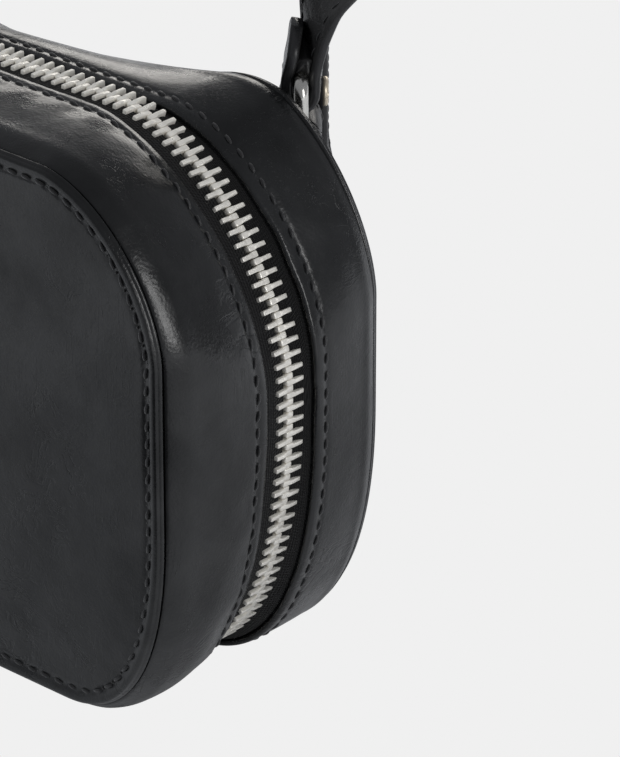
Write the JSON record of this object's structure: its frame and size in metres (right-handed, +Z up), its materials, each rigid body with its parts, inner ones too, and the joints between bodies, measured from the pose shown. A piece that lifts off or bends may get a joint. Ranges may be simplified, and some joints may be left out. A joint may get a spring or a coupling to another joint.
{
  "type": "crossbody bag",
  "caption": "Small black leather crossbody bag, a clamshell box with a metal zip round the top and sides and a flat shoulder strap on rings.",
  "frame": {"origin": "middle of the base's underside, below the zip chain", "axes": "+X to the right along the zip's top run, +Y from the front panel to the rear panel, +Z up"},
  "size_m": [0.1978, 0.1061, 0.1663],
  "materials": {
    "bag_leather": "smooth black, semi-gloss",
    "strap_leather": "smooth black, satin",
    "silver_metal": "polished nickel tone",
    "zip_tape_cloth": "black woven tape",
    "lining_cloth": "dark grey plain weave",
    "stiffener_board": "dull grey board"
  },
  "bodies": {
    "rear_shell": {"rear_panel": "bag_leather", "rear_board": "stiffener_board", "rear_gusset": "bag_leather", "rear_lining": "lining_cloth", "slip_pocket": "lining_cloth", "rear_zip_tape": "zip_tape_cloth", "rear_zip_teeth": "silver_metal", "base_panel": "bag_leather", "zip_stop_left": "silver_metal", "zip_stop_right": "silver_metal", "chape_left": "strap_leather", "chape_right": "strap_leather", "chape_rivet_left": "silver_metal", "chape_rivet_right": "silver_metal"},
    "front_shell": {"front_panel": "bag_leather", "front_board": "stiffener_board", "front_gusset": "bag_leather", "front_lining": "lining_cloth", "front_zip_tape": "zip_tape_cloth", "front_zip_teeth": "silver_metal"},
    "slider_a": {"slider_a": "silver_metal"},
    "slider_b": {"slider_b": "silver_metal"},
    "pull_a": {"pull_a": "silver_metal"},
    "pull_b": {"pull_b": "silver_metal"},
    "strap": {"strap": "strap_leather", "ring_left": "silver_metal", "ring_right": "silver_metal", "strap_rivet_left": "silver_metal", "strap_rivet_right": "silver_metal"}
  },
  "joints": [
    {"name": "front_hinge", "type": "hinge", "parent": "rear_shell", "child": "front_shell", "pos_m": [0, 0, 0.0015], "axis": [1, 0, 0], "range_deg": [0, 60], "deforming": ["front_zip_teeth", "rear_zip_teeth"]},
    {"name": "slide_a", "type": "slide", "parent": "rear_shell", "child": "slider_a", "axis": [1, 0, 0], "range_m": [0, 0.05]},
    {"name": "slide_b", "type": "slide", "parent": "rear_shell", "child": "slider_b", "axis": [-1, 0, 0], "range_m": [0, 0.014]},
    {"name": "pull_a_hinge", "type": "hinge", "parent": "slider_a", "child": "pull_a", "pos_m": [-0.015, -0.00055, 0.1293], "axis": [0, -1, 0], "range_deg": [0, 100]},
    {"name": "pull_b_hinge", "type": "hinge", "parent": "slider_b", "child": "pull_b", "pos_m": [-0.029, -0.00055, 0.1293], "axis": [0, 1, 0], "range_deg": [0, 100]},
    {"name": "strap_swing", "type": "hinge", "parent": "rear_shell", "child": "strap", "pos_m": [0, 0.042, 0.1094], "axis": [1, 0, 0], "range_deg": [0, 5]}
  ]
}
